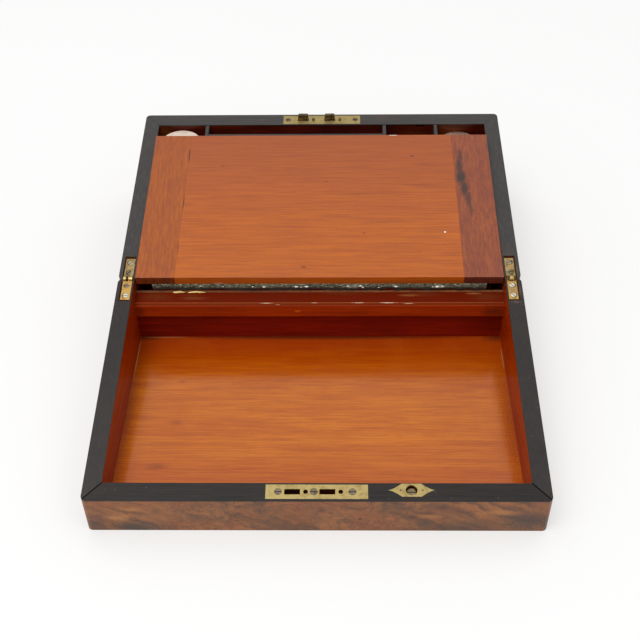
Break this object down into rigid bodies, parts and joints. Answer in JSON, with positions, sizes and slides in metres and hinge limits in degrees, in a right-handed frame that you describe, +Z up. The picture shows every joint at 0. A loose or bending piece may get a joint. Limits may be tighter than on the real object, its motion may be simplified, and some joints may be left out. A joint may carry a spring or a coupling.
{
  "type": "writing_box",
  "caption": "Open walnut-veneered writing slope box with brass hinges and lock, folded baize-lined flaps, inkwells, pen tray and wells",
  "frame": {"origin": "on the table under the middle of the hinge line, which is the middle of the open box", "axes": "X to the right along the hinge line, Y from the lid to the base, Z up"},
  "size_m": [0.35, 0.432, 0.1017],
  "materials": {
    "walnut_veneer": "burr and straight walnut veneer, worn French polish",
    "case_wood": "red-brown stained softwood and mahogany, bare inside",
    "lid_floor_wood": "orange-brown bare board, scuffed",
    "black_facing": "ebonised, dusty and rubbed to dark grey",
    "flap_wood": "bare pinkish mahogany with small knots",
    "velvet": "faded dark green velvet",
    "brass": "lacquer lost, dull and tarnished",
    "pale_cap": "pale plated brass, matt",
    "bolt_steel": "grey, lightly rusted",
    "clear_glass": "pressed clear glass"
  },
  "bodies": {
    "base": {"base_floor": "case_wood", "base_left_wall": "case_wood", "base_right_wall": "case_wood", "base_back_wall": "case_wood", "base_front_wall": "case_wood", "base_veneer": "walnut_veneer", "base_side_rims": "black_facing", "base_back_rim": "black_facing", "well_partition": "case_wood", "flap_rest": "case_wood", "well_floor": "case_wood", "divider_left": "black_facing", "divider_middle": "black_facing", "divider_right": "black_facing", "divider_long": "black_facing", "tray_bearers": "case_wood", "pen_tray": "case_wood", "inkwell_left": "clear_glass", "inkwell_right": "clear_glass", "inkwell_collar_left": "brass", "inkwell_collar_right": "brass", "lock_plate": "brass", "lock_case": "brass", "lock_spring": "bolt_steel", "steady_pins": "brass", "lock_screws": "brass", "keyhole_escutcheon": "brass", "hinge_leaf_base_left": "brass", "hinge_leaf_base_right": "brass", "hinge_screws_base": "brass"},
    "lid": {"lid_board": "lid_floor_wood", "lid_top_veneer": "walnut_veneer", "lid_left_wall": "case_wood", "lid_right_wall": "case_wood", "lid_front_wall": "case_wood", "lid_hinge_wall": "case_wood", "lid_veneer": "walnut_veneer", "lid_side_rims": "black_facing", "lid_front_rim": "black_facing", "lid_hinge_ledge": "case_wood", "lid_front_ledge": "case_wood", "strike_plate": "brass", "strike_screws": "brass", "lozenge_plate": "brass", "lozenge_screw": "brass", "lozenge_pins": "brass", "hinge_leaf_lid_left": "brass", "hinge_leaf_lid_right": "brass", "hinge_pins": "brass", "hinge_screws_lid": "brass"},
    "upper_flap": {"upper_flap_board": "flap_wood", "upper_flap_clamps": "flap_wood", "upper_flap_velvet": "velvet", "hinge_cloth": "velvet"},
    "lower_flap": {"lower_flap_board": "flap_wood", "lower_flap_clamps": "flap_wood", "lower_flap_velvet": "velvet"},
    "lock_bolt": {"lock_bolt": "bolt_steel"},
    "inkwell_cap_left": {"inkwell_cap_left": "pale_cap"},
    "inkwell_cap_right": {"inkwell_cap_right": "brass"}
  },
  "joints": [
    {"name": "lid_hinge", "type": "hinge", "parent": "base", "child": "lid", "pos_m": [0, 0, 0.0665], "axis": [1, 0, 0], "range_deg": [-180, 0]},
    {"name": "upper_flap_fold", "type": "hinge", "parent": "base", "child": "upper_flap", "pos_m": [0, -0.00854, 0.06029], "axis": [1, 0, 0], "range_deg": [0, 180]},
    {"name": "lower_flap_fold", "type": "hinge", "parent": "upper_flap", "child": "lower_flap", "pos_m": [0, -0.00854, 0.06029], "axis": [1, 0, 0], "range_deg": [0, 180]},
    {"name": "bolt_slide", "type": "slide", "parent": "base", "child": "lock_bolt", "axis": [1, 0, 0], "range_m": [0, 0.0024]},
    {"name": "cap_left_turn", "type": "hinge", "parent": "base", "child": "inkwell_cap_left", "pos_m": [-0.1377, 0.1812, 0.0825], "axis": [0, 0, 1], "range_deg": [0, 90]},
    {"name": "cap_right_turn", "type": "hinge", "parent": "base", "child": "inkwell_cap_right", "pos_m": [0.1342, 0.1812, 0.08], "axis": [0, 0, 1], "range_deg": [0, 90]}
  ]
}
